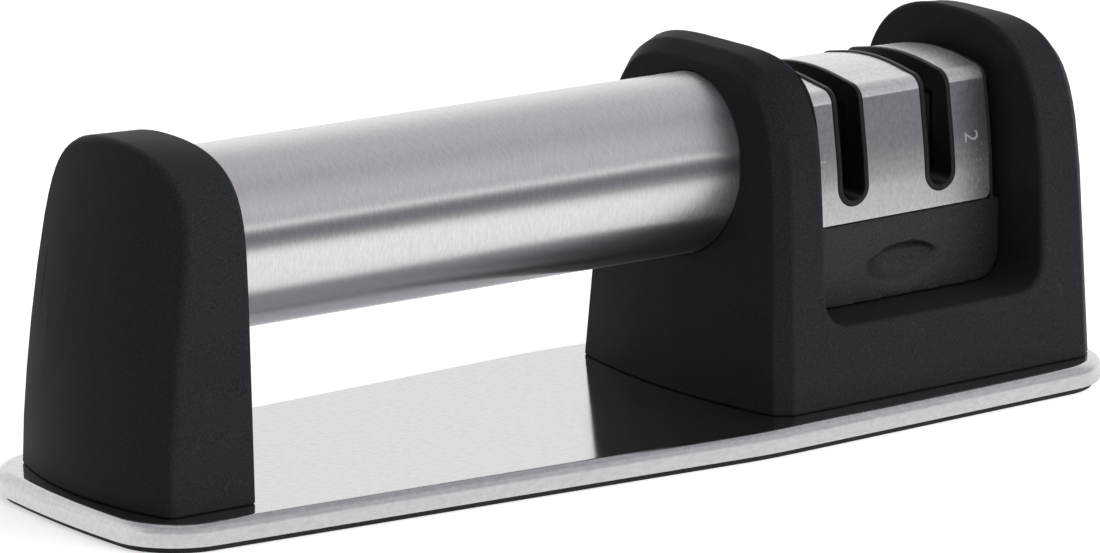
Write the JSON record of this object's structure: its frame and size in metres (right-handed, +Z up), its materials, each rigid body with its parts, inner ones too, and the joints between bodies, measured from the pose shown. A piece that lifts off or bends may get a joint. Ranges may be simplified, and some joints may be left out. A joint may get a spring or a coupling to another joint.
{
  "type": "pull through knife sharpener",
  "caption": "Pull through knife sharpener: steel base, tube handle between two uprights, and a lift-out cartridge with a coarse and a fine slot.",
  "frame": {"origin": "on the standing surface, under the middle of the base", "axes": "+X along the handle towards the sharpening head, +Z up"},
  "size_m": [0.1942, 0.069, 0.0626],
  "materials": {
    "base_steel": "fine brushing along the length, bright bent edge",
    "tube_steel": "fine brushing round the tube",
    "cover_steel": "fine brushing from front to back",
    "screw_steel": "plain zinc plated",
    "support_plastic": "matte soft-touch, nearly black",
    "cartridge_plastic": "satin black",
    "liner_plastic": "smooth black",
    "core_plastic": "plain moulded, hidden",
    "holder_plastic": "plain moulded, dark",
    "pad_rubber": "dull black",
    "carbide": "ground, dark grey",
    "ceramic": "smooth off-white"
  },
  "bodies": {
    "stand": {"base_plate": "base_steel", "base_core": "core_plastic", "anti_slip_pad": "pad_rubber", "rear_support": "support_plastic", "rear_screws": "screw_steel", "head_housing": "support_plastic", "head_screws": "screw_steel", "handle_tube": "tube_steel", "tube_plug_rear": "core_plastic", "tube_plug_front": "core_plastic", "tie_rod": "screw_steel", "tie_rod_nut": "screw_steel"},
    "cartridge": {"cartridge_grip": "cartridge_plastic", "cartridge_core": "cartridge_plastic", "cartridge_cover": "cover_steel", "cartridge_screws": "screw_steel", "slot_liner_coarse": "liner_plastic", "slot_liner_fine": "liner_plastic", "carbide_holder": "holder_plastic", "carbide_blade_front": "carbide", "carbide_blade_back": "carbide", "ceramic_holder": "holder_plastic", "ceramic_rod_front": "ceramic", "ceramic_rod_back": "ceramic"}
  },
  "joints": [
    {"name": "cartridge_lift", "type": "slide", "parent": "stand", "child": "cartridge", "axis": [0, 0, 1], "range_m": [0, 0.045]}
  ]
}
